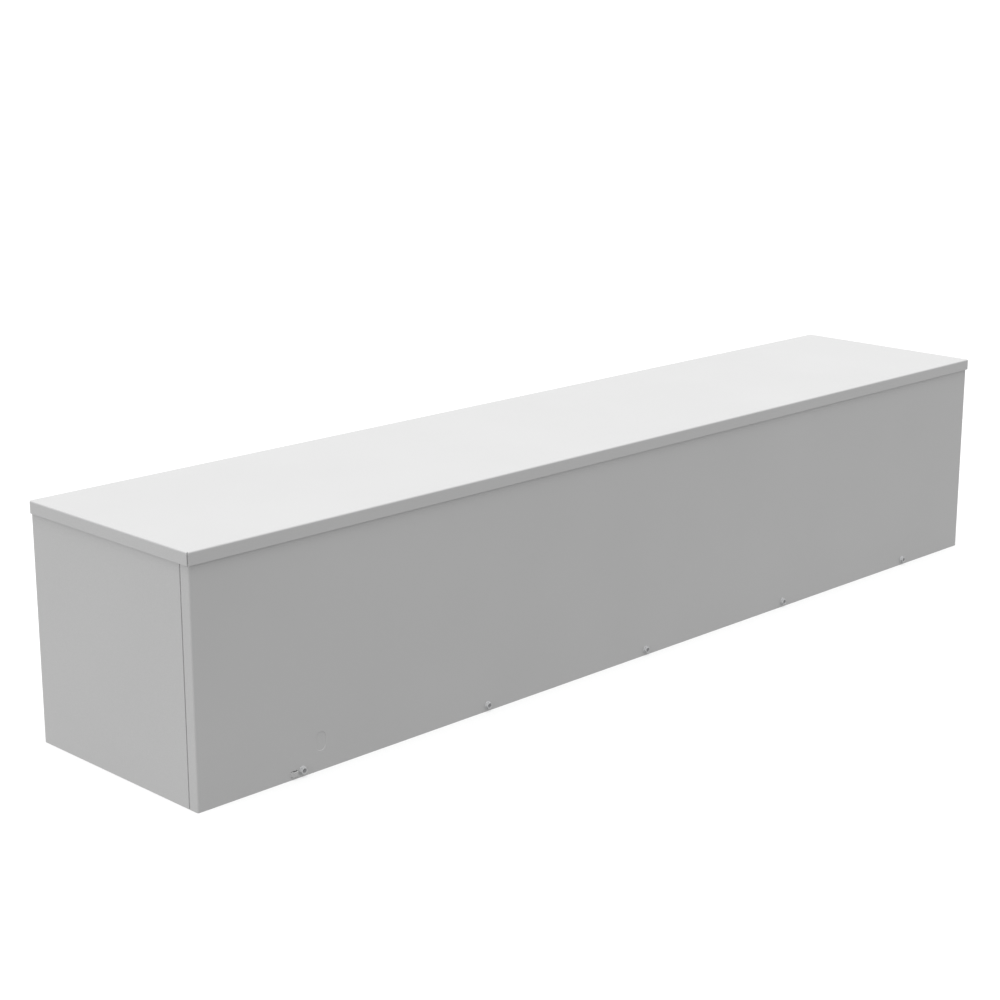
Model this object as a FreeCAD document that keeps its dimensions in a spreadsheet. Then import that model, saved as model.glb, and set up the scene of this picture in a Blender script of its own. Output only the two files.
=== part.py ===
import FreeCAD, Part
import math
import os
import re

import Sketcher
from FreeCAD import Vector

# Rainproof sheet-steel wireway: a bent trough closed by two end plates, a drip-shield top and a front
# cover that slips up behind the top's lip and is held by screws along its bottom edge.
# Every sub-part is drawn with the outer face of the trough's back on y = 0, the front towards -Y and
# the underside on z = 0. Its placement then brings the middle of the whole depth to y = 0.

# Driving dimensions in millimetres and degrees.
DIMENSIONS = {
    # Trough, measured over the end plates, over the folded sheet and up to the seat of the top
    "length": 1524.0,
    "depth": 304.8,
    "height": 304.8,
    "sheet": 1.5,
    "bend_inside": 0.4,
    "screw_flange": 22.0,
    # Raised pads with bolt holes that hold the back off the wall
    "pad_standoff": 3.2,
    "pad_face": 28.0,
    "pad_slope": 45.0,
    "mount_hole": 9.0,
    "mount_inset": 152.4,
    "mount_margin": 50.8,
    # End plates: stepped front margin, front return, top flange and the relief beside their bends
    "flange_clearance": 0.3,
    "step_angle": 70.0,
    "front_return": 20.0,
    "weld_flange": 16.0,
    "relief": 2.0,
    # Drip-shield top: lip height over the top sheet, lip clearance and open corners
    "lip_height": 15.9,
    "lip_clearance": 0.95,
    "corner_gap": 0.2,
    # Front cover: side flange, the seam behind it and the lift-off gap above the cover
    "cover_flange": 14.8,
    "seam_gap": 1.8,
    "cover_lift": 3.0,
    # Bridge lanced out of the cover for a seal wire, beside the first screw
    "bridge_distance": 12.3,
    "bridge_middle": 7.0,
    "bridge_width": 11.0,
    "bridge_height": 5.6,
    "bridge_rise": 3.0,
    "bridge_slope": 50.0,
    "bridge_slit": 0.7,
    # Shallow oval pad pressed into the cover, above the trough's screw flange
    "oval_distance": 28.6,
    "oval_clearance": 2.5,
    "oval_width": 16.0,
    "oval_height": 24.0,
    "oval_depth": 0.4,
    "oval_slope": 45.0,
    # Hex washer head screws with a dished top
    "screw_count": 5,
    "screw_inset": 152.4,
    "screw_middle": 8.0,
    "screw_hole_clearance": 0.4,
    "thread_clearance": 0.05,
    "shank_diameter": 4.8,
    "shank_length": 12.7,
    "point_diameter": 3.4,
    "point_length": 2.0,
    "washer_diameter": 10.6,
    "washer_edge": 0.6,
    "washer_height": 1.0,
    "head_flats": 7.9,
    "head_height": 3.9,
    "head_chamfer": 0.4,
    "dish_diameter": 5.8,
    "dish_depth": 1.1,
    "dish_slope": 45.0,
}

# Derived sizes and places, as expressions in the words above.
BEND_OUTSIDE = "(bend_inside + sheet)"
END_FACE = "(-length / 2)"
END_INSIDE = "(-length / 2 + sheet)"
MARGIN_FACE = "(-length / 2 + sheet + flange_clearance)"
MARGIN_INSIDE = "(-length / 2 + 2 * sheet + flange_clearance)"
BODY_FRONT = "(-depth)"
COVER_FACE = "(-depth - sheet)"
STEP_START = f"({COVER_FACE} + cover_flange + seam_gap)"
STEP_END = f"({STEP_START} - (sheet + flange_clearance) / tan(step_angle))"
STEP_SHIFT = "(sheet * tan(step_angle / 2))"
WALL_FRONT = f"({BODY_FRONT} + {BEND_OUTSIDE} + relief)"
WALL_TOP = f"(height - {BEND_OUTSIDE} - relief)"
RETURN_BOTTOM = "(screw_flange + relief)"
LIP_FACE = f"({COVER_FACE} - lip_clearance - sheet)"
LIP_END = "(length / 2 + lip_clearance + sheet)"
LIP_NOTCH = "(sheet + corner_gap)"
COVER_TOP = "(height - cover_lift)"
FIRST_SCREW = "(-length / 2 + screw_inset)"
SCREW_PITCH = "((length - 2 * screw_inset) / (screw_count - 1))"
BACK_TOP = "(height - bend_inside)"
OVAL_MIDDLE = "(screw_flange + oval_clearance + oval_height / 2)"
FRONT_REACH = "max(lip_clearance + sheet; head_height; bridge_rise)"
DEPTH_SHIFT = f"((depth + sheet + {FRONT_REACH} - pad_standoff) / 2)"

# How near a bend's edge lies to its spot, a sketch's origin, and the sketch axis where a distance is zero.
EDGE_MATCH = 0.001
ORIGIN_POINT = (-1, 1)
SKETCH_AXES = {"DistanceX": (-2,), "DistanceY": (-1,)}

doc = FreeCAD.newDocument("wireway")
sizes = doc.addObject("Spreadsheet::Sheet", "Sizes")
for row, (alias, size) in enumerate(DIMENSIONS.items(), start=1):
    sizes.set(f"A{row}", alias)
    sizes.set(f"B{row}", str(size))
    sizes.setAlias(f"B{row}", alias)
doc.recompute()


def bound(expression):
    """Return the expression with each size's word pointing at its cell."""
    def point_at_cell(word):
        return f"Sizes.{word[0]}" if word[0] in DIMENSIONS else word[0]
    return re.sub(r"[a-z_]+", point_at_cell, expression)


def number(expression):
    """Work out an expression from the sheet."""
    return float(sizes.evalExpression(bound(expression)))


def new_body(node, x="0", y=DEPTH_SHIFT, z="0"):
    """Add an empty body whose placement is bound to the sheet."""
    body = doc.addObject("PartDesign::Body", node)
    body.Label = node
    for axis, place in zip("xyz", (x, y, z)):
        body.setExpression(f"Placement.Base.{axis}", bound(place))
    return body


def new_sketch(body, name, plane, x="0", y="0", z="0"):
    """Add a sketch on one of the body's own planes, moved by x, y and z along the sketch's axes."""
    sketch = body.newObject("Sketcher::SketchObject", name)
    support = [feature for feature in body.Origin.OriginFeatures if feature.Role == plane]
    sketch.AttachmentSupport = [(support[0], "")]
    sketch.MapMode = "FlatFace"
    for axis, shift in zip("xyz", (x, y, z)):
        sketch.setExpression(f"AttachmentOffset.Base.{axis}", bound(shift))
    return sketch


def hold_point(sketch, geometry, point, kind, expression):
    """Tie one coordinate of a sketch point to an expression, or to the axis where it is zero."""
    if expression == "0":
        sketch.addConstraint(Sketcher.Constraint("PointOnObject", geometry, point, *SKETCH_AXES[kind]))
        return
    distance = Sketcher.Constraint(kind, *ORIGIN_POINT, geometry, point, number(expression))
    index = sketch.addConstraint(distance)
    sketch.setExpression(f"Constraints[{index}]", bound(expression))


def draw_outline(sketch, corners):
    """Draw a closed outline through corners given as pairs of expressions."""
    points = [Vector(number(x), number(y), 0) for x, y in corners]
    lines = []
    for start, end in zip(points, points[1:] + points[:1]):
        lines.append(sketch.addGeometry(Part.LineSegment(start, end), False))
    for index, (x, y) in enumerate(corners):
        before = lines[index - 1]
        line = lines[index]
        sketch.addConstraint(Sketcher.Constraint("Coincident", before, 2, line, 1))
        if x == corners[index - 1][0]:
            sketch.addConstraint(Sketcher.Constraint("Vertical", before))
        else:
            hold_point(sketch, line, 1, "DistanceX", x)
        if y == corners[index - 1][1]:
            sketch.addConstraint(Sketcher.Constraint("Horizontal", before))
        else:
            hold_point(sketch, line, 1, "DistanceY", y)


def draw_rectangle(sketch, left, right, low, high):
    """Draw a rectangle between two pairs of expressions."""
    draw_outline(sketch, [(left, low), (right, low), (right, high), (left, high)])


def draw_circle(sketch, x, y, diameter):
    """Draw a circle about a centre given by expressions."""
    shape = Part.Circle(Vector(number(x), number(y), 0), Vector(0, 0, 1), number(diameter) / 2)
    circle = sketch.addGeometry(shape, False)
    index = sketch.addConstraint(Sketcher.Constraint("Diameter", circle, number(diameter)))
    sketch.setExpression(f"Constraints[{index}]", bound(diameter))
    hold_point(sketch, circle, 3, "DistanceX", x)
    hold_point(sketch, circle, 3, "DistanceY", y)


def draw_oval(sketch, x, y, width, height):
    """Draw an upright oval: two half circles joined by two straight sides."""
    radius = number(width) / 2
    half_side = (number(height) - number(width)) / 2
    middle = Vector(number(x), number(y), 0)
    ends = []
    sides = []
    for start, up in ((0, 1), (math.pi, -1)):
        circle = Part.Circle(middle + Vector(0, up * half_side, 0), Vector(0, 0, 1), radius)
        ends.append(sketch.addGeometry(Part.ArcOfCircle(circle, start, start + math.pi), False))
        first = middle + Vector(-up * radius, up * half_side, 0)
        last = middle + Vector(-up * radius, -up * half_side, 0)
        sides.append(sketch.addGeometry(Part.LineSegment(first, last), False))
    ring = (ends[0], sides[0], ends[1], sides[1])
    for index, piece in enumerate(ring):
        sketch.addConstraint(Sketcher.Constraint("Tangent", ring[index - 1], 2, piece, 1))
    sketch.addConstraint(Sketcher.Constraint("Equal", *ends))
    index = sketch.addConstraint(Sketcher.Constraint("Radius", ends[0], radius))
    sketch.setExpression(f"Constraints[{index}]", bound(f"{width} / 2"))
    for end, sign in zip(ends, "+-"):
        hold_point(sketch, end, 3, "DistanceX", x)
        hold_point(sketch, end, 3, "DistanceY", f"({y} {sign} ({height} - {width}) / 2)")


def pad(body, sketch, length, symmetric=False, backwards=False, taper="0"):
    """Raise a sketch into the body."""
    feature = body.newObject("PartDesign::Pad", f"{sketch.Name}_pad")
    feature.Profile = sketch
    feature.SideType = "Symmetric" if symmetric else "One side"
    feature.Reversed = backwards
    feature.setExpression("Length", bound(length))
    feature.setExpression("TaperAngle", bound(taper))
    doc.recompute()
    return feature


def pocket(body, sketch, length, symmetric=False, taper="0"):
    """Cut a sketch out of the body, and make sure that it took something away."""
    before = body.Tip.Shape.Volume
    feature = body.newObject("PartDesign::Pocket", f"{sketch.Name}_pocket")
    feature.Profile = sketch
    feature.SideType = "Symmetric" if symmetric else "One side"
    feature.setExpression("Length", bound(length))
    feature.setExpression("TaperAngle", bound(taper))
    doc.recompute()
    if feature.Shape.Volume >= before:
        raise RuntimeError(f"{feature.Name} cut nothing")
    return feature


def repeat_along(body, features, sketch, axis, pitch, count):
    """Repeat features in a row along an axis of their sketch."""
    row = body.newObject("PartDesign::LinearPattern", f"{sketch.Name}_{axis[0].lower()}_row")
    row.Originals = features
    row.Direction = (sketch, [axis])
    row.setExpression("Length", bound(f"{pitch} * ({count} - 1)"))
    row.setExpression("Occurrences", bound(count))
    body.Tip = row
    doc.recompute()
    return row


def straight_edges(shape, axis, spots):
    """Name the straight edges parallel to an axis that pass through the given spots across it."""
    across = [index for index in range(3) if index != "xyz".index(axis)]
    targets = [tuple(number(place) for place in spot) for spot in spots]
    names = []
    for index, edge in enumerate(shape.Edges, start=1):
        ends = [vertex.Point for vertex in edge.Vertexes]
        for target in targets:
            offsets = [abs(end[i] - place) for end in ends for i, place in zip(across, target)]
            if max(offsets) < EDGE_MATCH:
                names.append(f"Edge{index}")
    if len(names) != len(targets):
        raise RuntimeError(f"found {len(names)} of {len(targets)} bend edges")
    return names


def bend(body, name, axis, outside, inside):
    """Round the outer and inner edges of the bends that run along an axis."""
    for side, spots, radius in (("outside", outside, BEND_OUTSIDE), ("inside", inside, "bend_inside")):
        base = body.Tip
        edges = straight_edges(base.Shape, axis, spots)
        fillet = body.newObject("PartDesign::Fillet", f"{name}_{side}")
        fillet.Base = (base, edges)
        fillet.setExpression("Radius", bound(radius))
        doc.recompute()


def make_trough_body():
    """Fold the trough from one sheet: screw flange, bottom and back, with mounting pads in the back."""
    body = new_body("trough_body")
    profile = new_sketch(body, "trough_profile", "YZ_Plane")
    flange_inside = f"({BODY_FRONT} + sheet)"
    draw_outline(profile, [
        (BODY_FRONT, "screw_flange"), (BODY_FRONT, "0"), ("0", "0"), ("0", BACK_TOP),
        ("-sheet", BACK_TOP), ("-sheet", "sheet"), (flange_inside, "sheet"), (flange_inside, "screw_flange"),
    ])
    pad(body, profile, "length - 2 * sheet", symmetric=True)
    bend(body, "trough_bend", "x", [(BODY_FRONT, "0"), ("0", "0")],
         [(flange_inside, "sheet"), ("-sheet", "sheet")])

    # The front corners of the sheet are cut back to the end plates' stepped margins.
    notches = new_sketch(body, "trough_corner", "XY_Plane")
    notch_back = f"({STEP_START} + {STEP_SHIFT})"
    for side in ("", "-"):
        draw_rectangle(notches, f"{side}{END_FACE}", f"{side}{MARGIN_INSIDE}", COVER_FACE, notch_back)
    pocket(body, notches, "2 * height", symmetric=True)

    holes = new_sketch(body, "thread_hole", "XZ_Plane", z="depth")
    draw_circle(holes, FIRST_SCREW, "screw_middle", "(shank_diameter + 2 * thread_clearance)")
    hole = pocket(body, holes, "sheet")
    repeat_along(body, [hole], holes, "H_Axis", SCREW_PITCH, "screw_count")
    make_mount_pads(body)
    return body


def make_mount_pads(body):
    """Press four dished pads with bolt holes out of the back."""
    slope_run = "(pad_standoff / tan(pad_slope))"
    inner_shift = "(sheet * tan(pad_slope / 2))"
    face_edge = "(pad_face / 2)"
    foot = f"({face_edge} + {slope_run})"
    bore = "(mount_hole / 2)"
    first_x = "(-length / 2 + mount_inset)"
    opening = new_sketch(body, "pad_opening", "XZ_Plane", x=first_x, y="mount_margin")
    draw_circle(opening, "0", "0", f"(2 * {foot})")
    opening_cut = pocket(body, opening, "2 * sheet", symmetric=True)

    section = new_sketch(body, "pad_section", "XY_Plane", x=first_x, z="mount_margin")
    draw_outline(section, [
        (bore, "pad_standoff"), (face_edge, "pad_standoff"), (foot, "0"), (foot, "-sheet"),
        (f"({foot} - {inner_shift})", "-sheet"),
        (f"({face_edge} - {inner_shift})", "(pad_standoff - sheet)"), (bore, "(pad_standoff - sheet)"),
    ])
    dish = body.newObject("PartDesign::Revolution", "pad_dish")
    dish.Profile = section
    dish.ReferenceAxis = (section, ["V_Axis"])
    doc.recompute()

    row = body.newObject("PartDesign::LinearPattern", "pad_grid")
    row.Originals = [opening_cut, dish]
    row.Direction = (opening, ["H_Axis"])
    row.setExpression("Length", bound("length - 2 * mount_inset"))
    row.Occurrences = 2
    row.Direction2 = (opening, ["V_Axis"])
    row.setExpression("Length2", bound("height - 2 * mount_margin"))
    row.Occurrences2 = 2
    body.Tip = row
    doc.recompute()


def make_end_plate_left():
    """Fold the left end plate: a wall with a stepped front margin, a front return and a top flange."""
    body = new_body("end_plate_left")
    plan = new_sketch(body, "end_wall", "XY_Plane")
    draw_outline(plan, [
        (END_FACE, "0"), (END_FACE, STEP_START), (MARGIN_FACE, STEP_END), (MARGIN_FACE, WALL_FRONT),
        (MARGIN_INSIDE, WALL_FRONT), (MARGIN_INSIDE, f"({STEP_END} + {STEP_SHIFT})"),
        (END_INSIDE, f"({STEP_START} + {STEP_SHIFT})"), (END_INSIDE, "0"),
    ])
    pad(body, plan, WALL_TOP)

    front = new_sketch(body, "end_return", "XY_Plane", z=RETURN_BOTTOM)
    return_edge = f"({MARGIN_FACE} + front_return)"
    return_inside = f"({BODY_FRONT} + sheet)"
    draw_outline(front, [
        (MARGIN_FACE, WALL_FRONT), (MARGIN_FACE, BODY_FRONT), (return_edge, BODY_FRONT),
        (return_edge, return_inside), (MARGIN_INSIDE, return_inside), (MARGIN_INSIDE, WALL_FRONT),
    ])
    pad(body, front, f"height - {RETURN_BOTTOM}")
    bend(body, "return_bend", "z", [(MARGIN_FACE, BODY_FRONT)], [(MARGIN_INSIDE, return_inside)])

    flange_front = f"({STEP_START} + {STEP_SHIFT} + relief)"
    top = new_sketch(body, "end_flange", "XZ_Plane", z="sheet + relief")
    flange_edge = f"({END_FACE} + weld_flange)"
    draw_outline(top, [
        (END_FACE, WALL_TOP), (END_FACE, "height"), (flange_edge, "height"),
        (flange_edge, "(height - sheet)"), (END_INSIDE, "(height - sheet)"), (END_INSIDE, WALL_TOP),
    ])
    pad(body, top, f"-{flange_front} - sheet - relief")
    bend(body, "flange_bend", "y", [(END_FACE, "height")], [(END_INSIDE, "(height - sheet)")])
    return body


def make_end_plate_right(left):
    """Mirror the left end plate about the middle of the length."""
    plate = doc.addObject("Part::Mirroring", "end_plate_right")
    plate.Label = "end_plate_right"
    plate.Source = left
    plate.Normal = Vector(1, 0, 0)
    doc.recompute()
    return plate


def make_drip_shield_top():
    """Fold the top: a sheet with a lip turned down on every side and open corners."""
    body = new_body("drip_shield_top")
    blank = new_sketch(body, "top_blank", "XY_Plane", z="height + sheet - lip_height")
    draw_rectangle(blank, f"-{LIP_END}", LIP_END, LIP_FACE, "sheet")
    pad(body, blank, "lip_height")

    top_z = "(height + sheet)"
    for name, axis, spots in (
        ("top_bend_long", "x", [(LIP_FACE, top_z), ("sheet", top_z)]),
        ("top_bend_end", "y", [(f"-{LIP_END}", top_z), (LIP_END, top_z)]),
    ):
        base = body.Tip
        fillet = body.newObject("PartDesign::Fillet", name)
        fillet.Base = (base, straight_edges(base.Shape, axis, spots))
        fillet.setExpression("Radius", bound(BEND_OUTSIDE))
        doc.recompute()

    base = body.Tip
    underside = min(range(len(base.Shape.Faces)), key=lambda i: base.Shape.Faces[i].CenterOfMass.z)
    shell = body.newObject("PartDesign::Thickness", "top_shell")
    shell.Base = (base, [f"Face{underside + 1}"])
    shell.Join = "Intersection"
    shell.Reversed = True
    shell.setExpression("Value", bound("sheet"))
    doc.recompute()

    corners = new_sketch(body, "top_corner", "XY_Plane", z=top_z)
    for side in ("", "-"):
        inner_end = f"{side}({LIP_END} - {LIP_NOTCH})"
        outer_end = f"{side}{LIP_END}"
        draw_rectangle(corners, inner_end, outer_end, LIP_FACE, f"({LIP_FACE} + {LIP_NOTCH})")
        draw_rectangle(corners, inner_end, outer_end, f"(sheet - {LIP_NOTCH})", "sheet")
    pocket(body, corners, "lip_height")
    return body


def make_front_cover():
    """Fold the cover: a front sheet with two side flanges, screw holes, seal bridge and oval pad."""
    body = new_body("front_cover")
    plan = new_sketch(body, "cover_plan", "XY_Plane")
    flange_end = f"({COVER_FACE} + cover_flange)"
    draw_outline(plan, [
        (END_FACE, flange_end), (END_FACE, COVER_FACE), (f"-{END_FACE}", COVER_FACE),
        (f"-{END_FACE}", flange_end), (f"-{END_INSIDE}", flange_end), (f"-{END_INSIDE}", BODY_FRONT),
        (END_INSIDE, BODY_FRONT), (END_INSIDE, flange_end),
    ])
    pad(body, plan, COVER_TOP)
    bend(body, "cover_bend", "z", [(END_FACE, COVER_FACE), (f"-{END_FACE}", COVER_FACE)],
         [(END_INSIDE, BODY_FRONT), (f"-{END_INSIDE}", BODY_FRONT)])

    holes = new_sketch(body, "cover_hole", "XZ_Plane", z="depth + sheet")
    draw_circle(holes, FIRST_SCREW, "screw_middle", "(shank_diameter + 2 * screw_hole_clearance)")
    hole = pocket(body, holes, "sheet")
    repeat_along(body, [hole], holes, "H_Axis", SCREW_PITCH, "screw_count")
    make_seal_bridge(body)
    make_oval_pad(body)
    return body


def make_seal_bridge(body):
    """Lance a bridge out of the cover, open above and below for a seal wire."""
    middle = f"({FIRST_SCREW} - bridge_distance)"
    left = "(-bridge_width / 2)"
    right = "(bridge_width / 2)"
    half_window = "(bridge_height / 2 + bridge_slit)"
    window = new_sketch(body, "bridge_window", "XZ_Plane", x=middle, y="bridge_middle", z="depth + sheet")
    draw_rectangle(window, left, right, f"-{half_window}", half_window)
    pocket(body, window, "sheet")

    run = "(bridge_rise / tan(bridge_slope))"
    shift = "(sheet * tan(bridge_slope / 2))"
    crown = f"({COVER_FACE} - bridge_rise)"
    crown_inside = f"({crown} + sheet)"
    strip = new_sketch(body, "bridge_strip", "XY_Plane", x=middle, z="bridge_middle")
    draw_outline(strip, [
        (left, COVER_FACE), (f"({left} + {run})", crown), (f"({right} - {run})", crown), (right, COVER_FACE),
        (right, BODY_FRONT), (f"({right} - {shift})", BODY_FRONT),
        (f"({right} - {run} - {shift})", crown_inside), (f"({left} + {run} + {shift})", crown_inside),
        (f"({left} + {shift})", BODY_FRONT), (left, BODY_FRONT),
    ])
    pad(body, strip, "bridge_height", symmetric=True)


def make_oval_pad(body):
    """Press a shallow oval into the cover: a recess in front and the same form raised behind."""
    middle = f"({FIRST_SCREW} + oval_distance)"
    raised = new_sketch(body, "oval_raised", "XZ_Plane", z="depth")
    draw_oval(raised, middle, OVAL_MIDDLE, "oval_width", "oval_height")
    pad(body, raised, "oval_depth", backwards=True, taper="-oval_slope")
    recess = new_sketch(body, "oval_recess", "XZ_Plane", z="depth + sheet")
    draw_oval(recess, middle, OVAL_MIDDLE, "oval_width", "oval_height")
    pocket(body, recess, "oval_depth", taper="-oval_slope")


def make_cover_screw(index):
    """Turn a washer and shank, raise the hex head on it and sink the dish."""
    node = f"cover_screw_{index + 1}"
    body = new_body(node, x=f"{FIRST_SCREW} + {index} * {SCREW_PITCH}",
                    y=f"{DEPTH_SHIFT} + {COVER_FACE}", z="screw_middle")
    turned = new_sketch(body, f"{node}_section", "XY_Plane")
    washer = "(washer_diameter / 2)"
    shank = "(shank_diameter / 2)"
    point = "(point_diameter / 2)"
    flats = "(head_flats / 2)"
    draw_outline(turned, [
        ("0", "-washer_height"), (flats, "-washer_height"), (washer, "-washer_edge"), (washer, "0"),
        (shank, "0"), (shank, "(shank_length - point_length)"), (point, "shank_length"),
        ("0", "shank_length"),
    ])
    turning = body.newObject("PartDesign::Revolution", f"{node}_turning")
    turning.Profile = turned
    turning.ReferenceAxis = (turned, ["V_Axis"])
    doc.recompute()

    hexagon = new_sketch(body, f"{node}_hexagon", "XZ_Plane")
    tip = f"({flats} / cos(30))"
    shoulder = f"({flats} * tan(30))"
    draw_outline(hexagon, [
        (tip, "0"), (shoulder, flats), (f"-{shoulder}", flats),
        (f"-{tip}", "0"), (f"-{shoulder}", f"-{flats}"), (shoulder, f"-{flats}"),
    ])
    head = pad(body, hexagon, "head_height")
    top = min(range(len(head.Shape.Faces)), key=lambda i: head.Shape.Faces[i].CenterOfMass.y)
    chamfer = body.newObject("PartDesign::Chamfer", f"{node}_chamfer")
    chamfer.Base = (head, [f"Face{top + 1}"])
    chamfer.setExpression("Size", bound("head_chamfer"))
    doc.recompute()

    dish = new_sketch(body, f"{node}_dish", "XZ_Plane", z="head_height")
    draw_circle(dish, "0", "0", "dish_diameter")
    pocket(body, dish, "dish_depth", taper="-dish_slope")
    return body


def write_parts(nodes):
    """Check every object and sub-part, then write one file for each sub-part."""
    doc.recompute()
    failed = [item.Name for item in doc.Objects if "Invalid" in item.State or "Error" in item.State]
    if failed:
        raise RuntimeError(f"failed objects: {failed}")
    for node in nodes:
        shape = node.Shape
        if shape.isNull() or not shape.isValid() or len(shape.Solids) != 1:
            raise RuntimeError(f"{node.Label} is not one valid solid")
    os.makedirs("parts", exist_ok=True)
    for node in nodes:
        node.Shape.exportStep(f"parts/{node.Label}.step")


end_plate_left = make_end_plate_left()
nodes = [make_trough_body(), end_plate_left, make_end_plate_right(end_plate_left)]
nodes += [make_drip_shield_top(), make_front_cover()]
nodes += [make_cover_screw(index) for index in range(int(number("screw_count")))]
write_parts(nodes)
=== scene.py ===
import math

import bpy
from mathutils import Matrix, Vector


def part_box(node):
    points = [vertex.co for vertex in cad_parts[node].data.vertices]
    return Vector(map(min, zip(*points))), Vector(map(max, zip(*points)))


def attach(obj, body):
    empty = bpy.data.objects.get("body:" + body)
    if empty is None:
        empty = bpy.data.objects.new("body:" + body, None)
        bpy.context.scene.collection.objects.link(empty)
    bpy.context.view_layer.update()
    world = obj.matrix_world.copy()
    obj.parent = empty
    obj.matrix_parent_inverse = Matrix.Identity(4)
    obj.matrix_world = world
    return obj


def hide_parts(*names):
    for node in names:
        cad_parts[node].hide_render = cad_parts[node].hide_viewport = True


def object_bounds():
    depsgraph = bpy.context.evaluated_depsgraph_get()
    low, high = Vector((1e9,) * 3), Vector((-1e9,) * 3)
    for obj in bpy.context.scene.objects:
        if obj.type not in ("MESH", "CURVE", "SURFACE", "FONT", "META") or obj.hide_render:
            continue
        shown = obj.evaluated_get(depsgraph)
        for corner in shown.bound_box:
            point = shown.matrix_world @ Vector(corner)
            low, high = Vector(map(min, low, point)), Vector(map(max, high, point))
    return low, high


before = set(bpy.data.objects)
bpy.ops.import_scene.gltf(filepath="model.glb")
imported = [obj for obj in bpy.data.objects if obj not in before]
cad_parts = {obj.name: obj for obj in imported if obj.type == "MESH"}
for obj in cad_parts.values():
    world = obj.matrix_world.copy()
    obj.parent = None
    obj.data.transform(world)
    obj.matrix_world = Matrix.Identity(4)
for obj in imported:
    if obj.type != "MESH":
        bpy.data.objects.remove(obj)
cad_low, cad_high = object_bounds()

bl_info = {
    "name": "Rainproof wireway",
    "version": (1, 0, 0),
    "blender": (4, 5, 0),
    "location": "View3D > Sidebar > Wireway",
    "description": "Finishes the packed wireway: coated sheets, plated cover screws and a studio stage",
    "category": "Object",
}

MILLIMETRE = 0.001
BODY = "root"
SHEET_NODES = ("trough_body", "end_plate_left", "end_plate_right", "drip_shield_top", "front_cover")
SCREW_NODES = sorted(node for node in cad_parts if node.startswith("cover_screw_"))
# Attribute that carries the painted shade in the screws' dishes, darker with depth.
DISH_SHADE_ATTRIBUTE = "dish_painted_shade"

# How finely the round shapes of a screw are divided.
HEX_SIDES = 6
ROUND_SIDES = 64
SHANK_SIDES = 48
DISH_SEGMENTS = 48
DISH_RINGS = 40
TURN_STEPS = 24
RIDGE_SIDES = 4

# Shapes that trim each other reach past each other, so that no two faces lie in one plane.
OVERSHOOT = 1.5
CROWN_ROOM = 1.02
WELD_REACH = 0.002 * MILLIMETRE

CHAMFER_SLOPE = 1.0 / math.tan(math.radians(30.0))
SHARP_ANGLE = math.radians(28.0)
HEAD_TO_FRONT = (math.radians(90.0), 0.0, 0.0)

NODE_SPACING = 190.0
NOISE_MIDDLE = (0.3, 0.7)
FLOOR_GAP = 0.2 * MILLIMETRE
WHITE = (1.0, 1.0, 1.0, 1.0)


def length_property(label, description, millimetres):
    """Describe a length that a user may change, with its default given in millimetres."""
    return bpy.props.FloatProperty(
        name=label, description=description, default=millimetres * MILLIMETRE,
        min=0.0, precision=5, subtype="DISTANCE", unit="LENGTH",
    )


def share_property(label, description, share):
    """Describe a plain number between none and all."""
    return bpy.props.FloatProperty(
        name=label, description=description, default=share, min=0.0, max=1.0, subtype="FACTOR",
    )


def colour_property(label, description, colour):
    """Describe a surface colour."""
    return bpy.props.FloatVectorProperty(
        name=label, description=description, default=colour, size=3, min=0.0, max=1.0, subtype="COLOR",
    )


def angle_property(label, description, degrees):
    """Describe an angle, with its default given in degrees."""
    return bpy.props.FloatProperty(
        name=label, description=description, default=math.radians(degrees),
        subtype="ANGLE", unit="ROTATION",
    )


def strength_property(label, description, strength):
    """Describe how strong a light is."""
    return bpy.props.FloatProperty(name=label, description=description, default=strength, min=0.0)


def direction_property(label, description, direction):
    """Describe a direction in the wireway's own axes."""
    return bpy.props.FloatVectorProperty(
        name=label, description=description, default=direction, size=3, subtype="DIRECTION",
    )


class WIREWAY_PG_coat(bpy.types.PropertyGroup):
    """Powder coat on the bent sheets."""

    colour: colour_property("Coat colour", "Middle tone of the baked powder", (0.42, 0.42, 0.42))
    drift: share_property("Tone drift", "How far the tone wanders from the middle", 0.05)
    drift_share: share_property("Drift share", "Share of the slow drift beside the flecks", 0.25)
    drift_size: length_property("Drift size", "Distance over which the tone wanders", 180.0)
    fleck_size: length_property("Fleck size", "Width of the powder's fine flecks", 0.8)
    sheen: share_property("Sheen", "Strength of the baked powder's reflections", 0.3)
    roughness: share_property("Roughness", "Satin of the baked powder", 0.45)
    roughness_spread: share_property("Roughness spread", "How far the satin varies", 0.08)
    peel_size: length_property("Peel size", "Width of the orange peel's cells", 2.2)
    peel_height: length_property("Peel height", "Height of the orange peel", 0.05)


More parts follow.
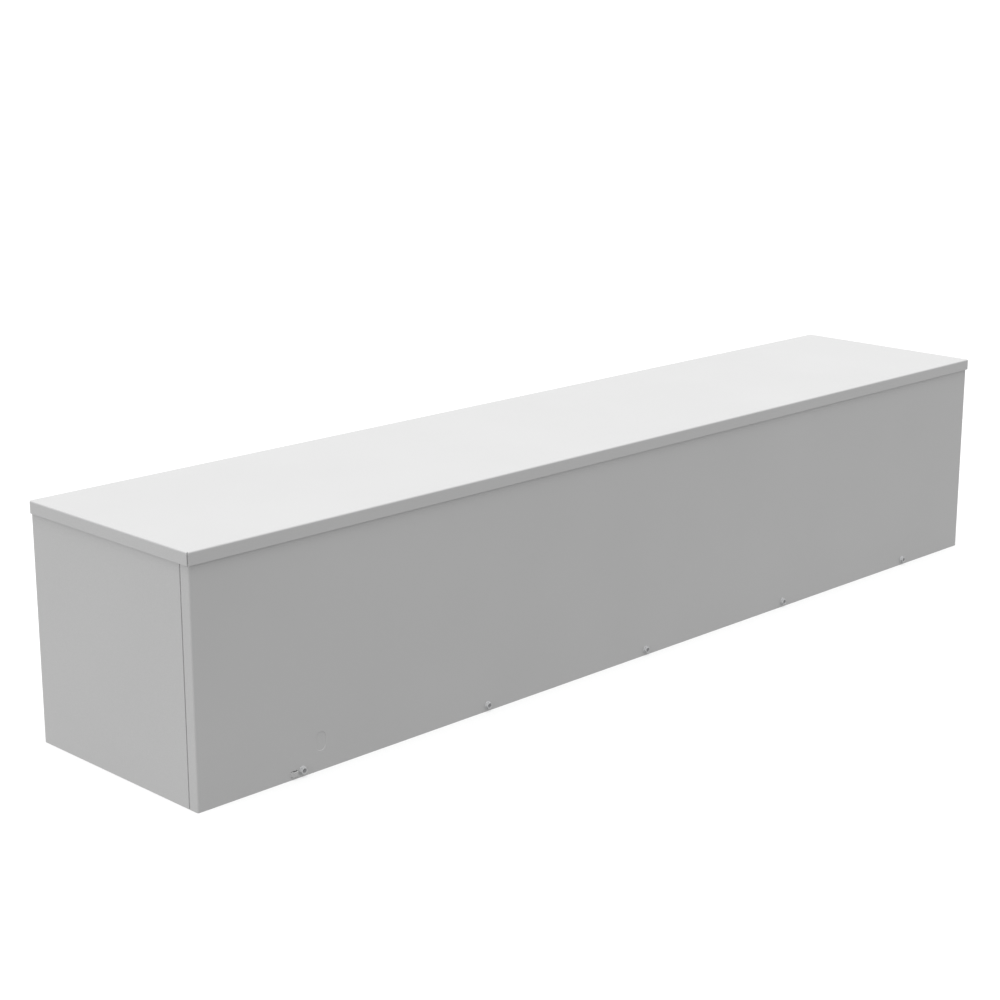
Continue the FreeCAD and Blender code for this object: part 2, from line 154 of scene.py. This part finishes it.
class WIREWAY_PG_screws(bpy.types.PropertyGroup):
    """Hex washer head screws along the cover's bottom edge."""

    across_flats: length_property("Across flats", "Width of the hex head", 7.9)
    head_height: length_property("Head height", "Seat to the top of the head", 3.9)
    head_inset: length_property("Head inset", "Flat to the rim of the head's top face", 0.25)
    washer_edge: length_property("Washer edge", "Straight edge of the washer", 0.6)
    washer_height: length_property("Washer height", "Seat to the top of the washer", 1.0)
    dish_width: length_property("Dish width", "Diameter of the dish in the head's top", 6.6)
    dish_depth: length_property("Dish depth", "Depth of the dish in the head's top", 1.4)
    # Painted shade: the dish darkens with depth until this depth below the rim.
    painted_shade_depth: length_property("Painted shade depth", "Depth below the rim where the dish is fully dull", 0.8)
    core_width: length_property("Core width", "Diameter under the thread", 3.9)
    thread_width: length_property("Thread width", "Diameter over the thread", 4.8)
    thread_pitch: length_property("Thread pitch", "Rise of the thread in one turn", 1.06)
    point_length: length_property("Point length", "Plain point below the thread", 2.0)
    colour: colour_property("Plating colour", "Bright tone of the zinc", (0.48, 0.485, 0.49))
    dull_colour: colour_property("Dull colour", "Dull tone of the zinc", (0.42, 0.425, 0.43))
    # Painted shade: the dark tone painted into the dish, where the hollow lies in shade.
    dish_shade_colour: colour_property("Dish shade colour", "Dull tone of the zinc in the dish", (0.22, 0.22, 0.225))
    cloud_size: length_property("Cloud size", "Width of the zinc's cloudy patches", 0.9)
    grain_size: length_property("Grain size", "Width of the zinc's fine grain", 0.25)
    grain_height: length_property("Grain height", "Height of the zinc's fine grain", 0.01)
    metallic: share_property("Metallic", "How much the plating mirrors its surroundings", 0.1)
    roughness: share_property("Roughness", "Satin of the plating", 0.45)
    roughness_spread: share_property("Roughness spread", "How far the satin varies", 0.08)


class WIREWAY_PG_stage(bpy.types.PropertyGroup):
    """Floor, light and camera."""

    floor_colour: colour_property("Floor colour", "Pale studio floor as it is seen", (0.8, 0.8, 0.8))
    floor_glow: colour_property("Floor glow", "Light that the floor sends back up", (0.46, 0.46, 0.46))
    floor_white: share_property("Floor white", "Share of plain white in the floor that is seen", 0.6)
    floor_reach: bpy.props.FloatProperty(
        name="Floor reach", description="Distance from the middle to the floor's edge",
        default=150.0, subtype="DISTANCE", unit="LENGTH",
    )
    dome_light: strength_property("Dome light", "Light from all round", 1.0)
    overhead_light: strength_property("Overhead light", "Strength of the wide overhead light", 2.6)
    overhead_spread: angle_property("Overhead spread", "Angle that the overhead light fills", 40.0)
    overhead_place: direction_property(
        "Overhead place", "Where the overhead light hangs", (0.0, 0.0, 1.0),
    )
    side_light: strength_property("Side light", "Strength of the low light on the end", 0.92)
    side_spread: angle_property("Side spread", "Angle that the low light fills", 50.0)
    side_place: direction_property("Side place", "Where the low light stands", (-1.0, 0.0, 0.3))
    camera_place: bpy.props.FloatVectorProperty(
        name="Camera place", description="Where the camera stands",
        default=(-2.05426, -1.92417, 0.94485), size=3, subtype="TRANSLATION", unit="LENGTH",
    )
    camera_turn: bpy.props.FloatVectorProperty(
        name="Camera turn", description="How the camera is turned",
        default=(math.radians(75.0), 0.0, math.radians(-45.0)), size=3, subtype="EULER",
    )
    camera_field: angle_property("Camera field", "Angle of view across the picture", 27.0)


def add_node(tree, kind, inputs=None, **settings):
    """Add a node, set it up and feed its inputs from sockets or plain values."""
    node = tree.nodes.new(kind)
    node.location.x = NODE_SPACING * len(tree.nodes)
    for name, value in settings.items():
        setattr(node, name, value)
    for name, value in (inputs or {}).items():
        if isinstance(value, bpy.types.NodeSocket):
            tree.links.new(value, node.inputs[name])
        else:
            node.inputs[name].default_value = value
    return node


def add_math(tree, operation, first, second):
    """Add a calculation with two sockets or numbers and return its result."""
    return add_node(tree, "ShaderNodeMath", {0: first, 1: second}, operation=operation).outputs["Value"]


def empty_tree(owner):
    """Switch a material or world to nodes and return its tree without any."""
    owner.use_nodes = True
    owner.node_tree.nodes.clear()
    return owner.node_tree


def new_material(name):
    """Start a node material and return it with its tree and its shader."""
    material = bpy.data.materials.new(name)
    tree = empty_tree(material)
    shader = add_node(tree, "ShaderNodeBsdfPrincipled")
    add_node(tree, "ShaderNodeOutputMaterial", {"Surface": shader.outputs["BSDF"]})
    return material, tree, shader


def add_noise(tree, place, size, detail):
    """Add a noise whose grains are about the given size."""
    inputs = {"Vector": place, "Scale": 1.0 / size, "Detail": detail}
    return add_node(tree, "ShaderNodeTexNoise", inputs).outputs["Fac"]


def add_ramp(tree, noise, dark, light):
    """Add a ramp between two colours over the middle of a noise."""
    ramp = add_node(tree, "ShaderNodeValToRGB", {"Fac": noise})
    for stop, place, colour in zip(ramp.color_ramp.elements, NOISE_MIDDLE, (dark, light)):
        stop.position = place
        stop.color = (*colour, 1.0)
    return ramp.outputs["Color"]


def add_satin(tree, shader, noise, roughness, spread):
    """Let a noise vary the shader's roughness about its middle."""
    satin = add_node(tree, "ShaderNodeMapRange", {
        "Value": noise, "To Min": roughness - spread, "To Max": roughness + spread,
    })
    tree.links.new(satin.outputs["Result"], shader.inputs["Roughness"])


def add_bump(tree, shader, noise, height):
    """Raise a noise to the given height on the shader's surface."""
    bump = add_node(tree, "ShaderNodeBump", {"Height": noise, "Strength": 1.0, "Distance": height})
    tree.links.new(bump.outputs["Normal"], shader.inputs["Normal"])


def make_powder_coat(coat):
    """Baked grey powder: fine flecks and a slow drift of tone, satin and a shallow orange peel."""
    material, tree, shader = new_material("grey_powder_coat")
    shader.inputs["Specular IOR Level"].default_value = coat.sheen
    place = add_node(tree, "ShaderNodeTexCoord").outputs["Object"]
    drift = add_noise(tree, place, coat.drift_size, detail=2.0)
    fleck = add_noise(tree, place, coat.fleck_size, detail=1.0)
    tone = add_node(tree, "ShaderNodeMix", {"Factor": coat.drift_share, "A": fleck, "B": drift})
    dark = [part * (1.0 - coat.drift) for part in coat.colour]
    light = [part * (1.0 + coat.drift) for part in coat.colour]
    tree.links.new(add_ramp(tree, tone.outputs["Result"], dark, light), shader.inputs["Base Color"])

    add_satin(tree, shader, fleck, coat.roughness, coat.roughness_spread)
    peel = add_noise(tree, place, coat.peel_size, detail=2.0)
    add_bump(tree, shader, peel, coat.peel_height)
    return material


def make_zinc_plating(screws):
    """Zinc over steel: cloudy tone and satin, fine grain, and a painted shade in the dish that grows
    darker with depth.
    """
    material, tree, shader = new_material("zinc_plating")
    shader.inputs["Metallic"].default_value = screws.metallic
    place = add_node(tree, "ShaderNodeTexCoord").outputs["Object"]
    cloud = add_noise(tree, place, screws.cloud_size, detail=3.0)
    # The dish's attribute mixes the painted shade into the zinc's tone, darker with depth.
    dish = add_node(tree, "ShaderNodeAttribute", attribute_name=DISH_SHADE_ATTRIBUTE)
    tone = add_node(tree, "ShaderNodeMix", {
        "Factor": dish.outputs["Fac"],
        "A": add_ramp(tree, cloud, screws.dull_colour, screws.colour),
        "B": (*screws.dish_shade_colour, 1.0),
    }, data_type="RGBA")
    tree.links.new(tone.outputs["Result"], shader.inputs["Base Color"])

    add_satin(tree, shader, cloud, screws.roughness, screws.roughness_spread)
    grain = add_noise(tree, place, screws.grain_size, detail=2.0)
    add_bump(tree, shader, grain, screws.grain_height)
    return material


SCREW_INPUTS = (
    ("Count", "NodeSocketInt"), ("First seat", "NodeSocketVector"), ("Spacing", "NodeSocketVector"),
    ("Across flats", "NodeSocketFloat"), ("Head height", "NodeSocketFloat"),
    ("Head inset", "NodeSocketFloat"), ("Washer width", "NodeSocketFloat"),
    ("Washer edge", "NodeSocketFloat"), ("Washer height", "NodeSocketFloat"),
    ("Dish width", "NodeSocketFloat"), ("Dish depth", "NodeSocketFloat"),
    ("Painted shade depth", "NodeSocketFloat"), ("Core width", "NodeSocketFloat"),
    ("Thread width", "NodeSocketFloat"), ("Thread pitch", "NodeSocketFloat"),
    ("Shank length", "NodeSocketFloat"), ("Point length", "NodeSocketFloat"),
    ("Finish", "NodeSocketMaterial"),
)


def half(tree, length):
    """Return half of a length."""
    return add_math(tree, "MULTIPLY", length, 0.5)


def below_seat(tree, length):
    """Return the height that lies the given length below the seat."""
    return add_math(tree, "MULTIPLY", length, -1.0)


def raised(tree, shape, height):
    """Move a shape along the screw's axis."""
    lift = add_node(tree, "ShaderNodeCombineXYZ", {"Z": height})
    moved = add_node(tree, "GeometryNodeTransform", {
        "Geometry": shape, "Translation": lift.outputs["Vector"],
    })
    return moved.outputs["Geometry"]


def upright_prism(tree, sides, radius, low, high):
    """Add a prism about the screw's axis between two heights."""
    prism = add_node(tree, "GeometryNodeMeshCylinder", {
        "Vertices": sides, "Radius": radius, "Depth": add_math(tree, "SUBTRACT", high, low),
    })
    return raised(tree, prism.outputs["Mesh"], half(tree, add_math(tree, "ADD", high, low)))


def coned(tree, prism, crown_radius, crown_height, slope):
    """Trim a prism to a cone that narrows to the crown and starts as far below the seat."""
    depth = add_math(tree, "MULTIPLY", crown_height, 2.0)
    spread = add_math(tree, "MULTIPLY", depth, slope)
    cone = add_node(tree, "GeometryNodeMeshCone", {
        "Vertices": ROUND_SIDES, "Radius Top": crown_radius,
        "Radius Bottom": add_math(tree, "ADD", crown_radius, spread), "Depth": depth,
    })
    lowered = raised(tree, cone.outputs["Mesh"], below_seat(tree, crown_height))
    trim = add_node(tree, "GeometryNodeMeshBoolean", operation="INTERSECT", solver="EXACT")
    tree.links.new(prism, trim.inputs["Mesh 2"])
    tree.links.new(lowered, trim.inputs["Mesh 2"])
    return trim.outputs["Mesh"]


def hex_head(tree, size, corner):
    """Add the hex head with its chamfered corners."""
    foot = half(tree, size["Washer edge"])
    top = add_math(tree, "MULTIPLY", size["Head height"], OVERSHOOT)
    hexagon = upright_prism(tree, HEX_SIDES, corner, foot, top)
    crown = add_math(tree, "SUBTRACT", half(tree, size["Across flats"]), size["Head inset"])
    return coned(tree, hexagon, crown, size["Head height"], CHAMFER_SLOPE)


def sloped_washer(tree, size, corner):
    """Add the washer, which slopes down outside the hex."""
    radius = half(tree, size["Washer width"])
    top = add_math(tree, "MULTIPLY", size["Washer height"], OVERSHOOT)
    disc = upright_prism(tree, ROUND_SIDES, radius, 0.0, top)
    crown = add_math(tree, "MULTIPLY", corner, CROWN_ROOM)
    fall_width = add_math(tree, "SUBTRACT", radius, crown)
    fall_height = add_math(tree, "SUBTRACT", size["Washer height"], size["Washer edge"])
    slope = add_math(tree, "DIVIDE", fall_width, fall_height)
    return coned(tree, disc, crown, size["Washer height"], slope)


def plain_core(tree, size):
    """Add the round core that carries the thread."""
    tip = below_seat(tree, size["Shank length"])
    return upright_prism(tree, SHANK_SIDES, half(tree, size["Core width"]), tip, size["Washer edge"])


def wound_thread(tree, size):
    """Wind a sharp ridge round the core, from the seat to the plain point."""
    length = add_math(tree, "SUBTRACT", size["Shank length"], size["Point length"])
    core_radius = half(tree, size["Core width"])
    helix = add_node(tree, "GeometryNodeCurveSpiral", {
        "Resolution": TURN_STEPS, "Rotations": add_math(tree, "DIVIDE", length, size["Thread pitch"]),
        "Start Radius": core_radius, "End Radius": core_radius, "Height": length,
    })
    ridge_height = half(tree, add_math(tree, "SUBTRACT", size["Thread width"], size["Core width"]))
    ridge = add_node(tree, "GeometryNodeCurvePrimitiveCircle", {
        "Resolution": RIDGE_SIDES, "Radius": ridge_height,
    })
    thread = add_node(tree, "GeometryNodeCurveToMesh", {
        "Curve": helix.outputs["Curve"], "Profile Curve": ridge.outputs["Curve"], "Fill Caps": True,
    })
    return raised(tree, thread.outputs["Mesh"], below_seat(tree, length))


def dish_ball(tree, size, rim_radius):
    """Add the ball whose lowest cap has the dish's rim and depth."""
    rim_square = add_math(tree, "MULTIPLY", rim_radius, rim_radius)
    rise = add_math(tree, "DIVIDE", rim_square, size["Dish depth"])
    ball_radius = half(tree, add_math(tree, "ADD", rise, size["Dish depth"]))
    ball = add_node(tree, "GeometryNodeMeshUVSphere", {
        "Segments": DISH_SEGMENTS, "Rings": DISH_RINGS, "Radius": ball_radius,
    })
    dish_floor = add_math(tree, "SUBTRACT", size["Head height"], size["Dish depth"])
    return raised(tree, ball.outputs["Mesh"], add_math(tree, "ADD", dish_floor, ball_radius))


def dish_painted_shade(tree, size, rim_radius):
    """Return how much painted shade each point gets: none on the rim and outside, full in the dish's
    depth.
    """
    place = add_node(tree, "GeometryNodeInputPosition").outputs["Position"]
    axes = add_node(tree, "ShaderNodeSeparateXYZ", {"Vector": place}).outputs
    across = add_node(tree, "ShaderNodeCombineXYZ", {"X": axes["X"], "Y": axes["Y"]}).outputs["Vector"]
    radius = add_node(tree, "ShaderNodeVectorMath", {0: across}, operation="LENGTH").outputs["Value"]
    sunk = add_math(tree, "SUBTRACT", size["Head height"], axes["Z"])
    shade_share = add_math(tree, "MINIMUM", add_math(tree, "DIVIDE", sunk, size["Painted shade depth"]), 1.0)
    in_head = add_math(tree, "LESS_THAN", sunk, size["Head height"])
    in_dish = add_math(tree, "MULTIPLY", in_head, add_math(tree, "LESS_THAN", radius, rim_radius))
    return add_math(tree, "MULTIPLY", in_dish, shade_share)


def dished(tree, size, solid):
    """Press the dish into the head's top, weld the mesh and mark the painted shade in the dish."""
    rim_radius = half(tree, size["Dish width"])
    pressed = add_node(tree, "GeometryNodeMeshBoolean", {
        "Mesh 1": solid, "Mesh 2": dish_ball(tree, size, rim_radius),
    }, operation="DIFFERENCE", solver="EXACT")
    welded = add_node(tree, "GeometryNodeMergeByDistance", {
        "Geometry": pressed.outputs["Mesh"], "Distance": WELD_REACH,
    })
    marked = add_node(tree, "GeometryNodeStoreNamedAttribute", {
        "Geometry": welded.outputs["Geometry"], "Name": DISH_SHADE_ATTRIBUTE,
        "Value": dish_painted_shade(tree, size, rim_radius),
    }, data_type="FLOAT", domain="POINT")
    return marked.outputs["Geometry"]


def make_screw_tree():
    """Build the node tree of a row of screws, each standing on its seat with its head towards -Y."""
    tree = bpy.data.node_groups.new("cover_screw_row", "GeometryNodeTree")
    for name, kind in SCREW_INPUTS:
        tree.interface.new_socket(name=name, in_out="INPUT", socket_type=kind)
    tree.interface.new_socket(name="Screws", in_out="OUTPUT", socket_type="NodeSocketGeometry")
    size = add_node(tree, "NodeGroupInput").outputs

    corner = add_math(tree, "DIVIDE", half(tree, size["Across flats"]), math.cos(math.pi / HEX_SIDES))
    solid = add_node(tree, "GeometryNodeMeshBoolean", operation="UNION", solver="EXACT")
    for part in (hex_head(tree, size, corner), sloped_washer(tree, size, corner), plain_core(tree, size)):
        tree.links.new(part, solid.inputs["Mesh 2"])
    whole = add_node(tree, "GeometryNodeJoinGeometry")
    for part in (wound_thread(tree, size), dished(tree, size, solid.outputs["Mesh"])):
        tree.links.new(part, whole.inputs["Geometry"])

    facing = add_node(tree, "GeometryNodeTransform", {
        "Geometry": whole.outputs["Geometry"], "Rotation": HEAD_TO_FRONT,
    })
    seats = add_node(tree, "GeometryNodeMeshLine", {
        "Count": size["Count"], "Start Location": size["First seat"], "Offset": size["Spacing"],
    }, mode="OFFSET")
    row = add_node(tree, "GeometryNodeInstanceOnPoints", {
        "Points": seats.outputs["Mesh"], "Instance": facing.outputs["Geometry"],
    })
    real = add_node(tree, "GeometryNodeRealizeInstances", {"Geometry": row.outputs["Instances"]})
    plated = add_node(tree, "GeometryNodeSetMaterial", {
        "Geometry": real.outputs["Geometry"], "Material": size["Finish"],
    })
    add_node(tree, "NodeGroupOutput", {"Screws": plated.outputs["Geometry"]})
    return tree


def plain_mesh(name, tree, values):
    """Run a node tree with the given named inputs and return the result as a plain mesh object."""
    piece = bpy.data.objects.new(name, bpy.data.meshes.new(name))
    bpy.context.scene.collection.objects.link(piece)
    modifier = piece.modifiers.new(tree.name, "NODES")
    modifier.node_group = tree
    for item in tree.interface.items_tree:
        if item.in_out == "INPUT":
            modifier[item.identifier] = values[item.name]
    evaluated = piece.evaluated_get(bpy.context.evaluated_depsgraph_get())
    mesh = bpy.data.meshes.new_from_object(evaluated)
    if not mesh.polygons:
        raise RuntimeError(f"{name} came out empty")
    piece.modifiers.remove(modifier)
    piece.data = mesh
    return piece


class WIREWAY_OT_coat_sheets(bpy.types.Operator):
    """Give the trough, end plates, drip shield and cover their baked powder coat"""

    bl_idname = "wireway.coat_sheets"
    bl_label = "Coat the sheets"

    def execute(self, context):
        coat = make_powder_coat(context.scene.wireway_coat)
        for node in SHEET_NODES:
            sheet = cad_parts[node]
            sheet.data.materials.clear()
            sheet.data.materials.append(coat)
        return {"FINISHED"}


class WIREWAY_OT_fit_screws(bpy.types.Operator):
    """Fit the row of plated screws in place of the plain ones"""

    bl_idname = "wireway.fit_screws"
    bl_label = "Fit the cover screws"

    def execute(self, context):
        screws = context.scene.wireway_screws
        first_low, first_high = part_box(SCREW_NODES[0])
        second_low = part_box(SCREW_NODES[1])[0]
        first_middle = (first_low + first_high) / 2
        seat_depth = first_low.y + screws.head_height
        piece = plain_mesh("cover_screws", make_screw_tree(), {
            "Count": len(SCREW_NODES),
            "First seat": (first_middle.x, seat_depth, first_middle.z),
            "Spacing": (second_low - first_low)[:],
            "Across flats": screws.across_flats,
            "Head height": screws.head_height,
            "Head inset": screws.head_inset,
            "Washer width": first_high.x - first_low.x,
            "Washer edge": screws.washer_edge,
            "Washer height": screws.washer_height,
            "Dish width": screws.dish_width,
            "Dish depth": screws.dish_depth,
            "Painted shade depth": screws.painted_shade_depth,
            "Core width": screws.core_width,
            "Thread width": screws.thread_width,
            "Thread pitch": screws.thread_pitch,
            "Shank length": first_high.y - seat_depth,
            "Point length": screws.point_length,
            "Finish": make_zinc_plating(screws),
        })
        piece.data.shade_smooth()
        piece.data.set_sharp_from_angle(angle=SHARP_ANGLE)
        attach(piece, BODY)
        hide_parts(*SCREW_NODES)
        return {"FINISHED"}


def seen_rays(tree):
    """Return one for rays that look at a surface and zero for rays that carry its light to others."""
    path = add_node(tree, "ShaderNodeLightPath").outputs
    mirror = add_math(tree, "MAXIMUM", path["Is Glossy Ray"], path["Is Transmission Ray"])
    return add_math(tree, "MAXIMUM", path["Is Camera Ray"], mirror)


def make_floor_paint(stage):
    """Pale floor paint that shows the wireway's shadow on white and sends an even light back up."""
    material = bpy.data.materials.new("studio_floor")
    tree = empty_tree(material)
    paint = add_node(tree, "ShaderNodeBsdfDiffuse", {"Color": (*stage.floor_colour, 1.0)})
    white = add_node(tree, "ShaderNodeEmission", {"Color": WHITE, "Strength": 1.0})
    shown = add_node(tree, "ShaderNodeMixShader", {
        "Fac": stage.floor_white, 1: paint.outputs["BSDF"], 2: white.outputs["Emission"],
    })
    glow = add_node(tree, "ShaderNodeEmission", {"Color": (*stage.floor_glow, 1.0), "Strength": 1.0})
    mix = add_node(tree, "ShaderNodeMixShader", {
        "Fac": seen_rays(tree), 1: glow.outputs["Emission"], 2: shown.outputs["Shader"],
    })
    add_node(tree, "ShaderNodeOutputMaterial", {"Surface": mix.outputs["Shader"]})
    # Rays that bounce off the wireway find the glow by themselves, so the floor isn't sampled as a lamp.
    material.cycles.emission_sampling = "NONE"
    return material


def make_floor(stage):
    """Lay a wide pale floor just under the wireway."""
    reach = stage.floor_reach
    mesh = bpy.data.meshes.new("studio_floor")
    corners = [(-reach, -reach, 0.0), (reach, -reach, 0.0), (reach, reach, 0.0), (-reach, reach, 0.0)]
    mesh.from_pydata(corners, [], [(0, 1, 2, 3)])
    mesh.materials.append(make_floor_paint(stage))
    floor = bpy.data.objects.new("studio_floor", mesh)
    floor.location.z = cad_low.z - FLOOR_GAP
    bpy.context.scene.collection.objects.link(floor)


def make_dome(stage):
    """Surround the stage with an even white dome."""
    world = bpy.data.worlds.new("studio_dome")
    tree = empty_tree(world)
    light = add_node(tree, "ShaderNodeBackground", {"Color": WHITE, "Strength": stage.dome_light})
    add_node(tree, "ShaderNodeOutputWorld", {"Surface": light.outputs["Background"]})
    bpy.context.scene.world = world


def make_light(name, strength, spread, place):
    """Set up a wide soft light that shines from the given direction."""
    lamp = bpy.data.lights.new(name, "SUN")
    lamp.energy = strength
    lamp.angle = spread
    light = bpy.data.objects.new(name, lamp)
    light.rotation_euler = Vector(place).to_track_quat("Z", "Y").to_euler()
    bpy.context.scene.collection.objects.link(light)


def make_camera(stage):
    """Stand the camera where the photograph was taken from."""
    data = bpy.data.cameras.new("photo_camera")
    data.angle = stage.camera_field
    camera = bpy.data.objects.new("photo_camera", data)
    camera.location = stage.camera_place
    camera.rotation_euler = stage.camera_turn
    bpy.context.scene.collection.objects.link(camera)
    bpy.context.scene.camera = camera


class WIREWAY_OT_set_stage(bpy.types.Operator):
    """Lay the floor, hang the light and stand the camera at the photograph's angle"""

    bl_idname = "wireway.set_stage"
    bl_label = "Set the stage"

    def execute(self, context):
        stage = context.scene.wireway_stage
        make_floor(stage)
        make_dome(stage)
        make_light("overhead_light", stage.overhead_light, stage.overhead_spread, stage.overhead_place)
        make_light("side_light", stage.side_light, stage.side_spread, stage.side_place)
        make_camera(stage)
        context.scene.view_settings.view_transform = "Standard"
        return {"FINISHED"}


class WIREWAY_PT_build(bpy.types.Panel):
    """Steps and sizes of the wireway"""

    bl_idname = "WIREWAY_PT_build"
    bl_label = "Rainproof wireway"
    bl_space_type = "VIEW_3D"
    bl_region_type = "UI"
    bl_category = "Wireway"

    def draw(self, context):
        for operator, group in STEPS:
            column = self.layout.box().column()
            settings = getattr(context.scene, group)
            for name in settings.__annotations__:
                column.prop(settings, name)
            column.operator(operator.bl_idname)


GROUPS = {
    "wireway_coat": WIREWAY_PG_coat,
    "wireway_screws": WIREWAY_PG_screws,
    "wireway_stage": WIREWAY_PG_stage,
}
STEPS = (
    (WIREWAY_OT_coat_sheets, "wireway_coat"),
    (WIREWAY_OT_fit_screws, "wireway_screws"),
    (WIREWAY_OT_set_stage, "wireway_stage"),
)
CLASSES = (*GROUPS.values(), *(operator for operator, group in STEPS), WIREWAY_PT_build)


def register():
    """Add the classes, and the settings to the scene."""
    for item in CLASSES:
        bpy.utils.register_class(item)
    for name, group in GROUPS.items():
        setattr(bpy.types.Scene, name, bpy.props.PointerProperty(type=group))


def unregister():
    """Take the settings and classes away again."""
    for name in GROUPS:
        delattr(bpy.types.Scene, name)
    for item in reversed(CLASSES):
        bpy.utils.unregister_class(item)


def main():
    """Build every step in order."""
    register()
    bpy.ops.wireway.coat_sheets()
    bpy.ops.wireway.fit_screws()
    bpy.ops.wireway.set_stage()


if __name__ == "__main__":
    main()
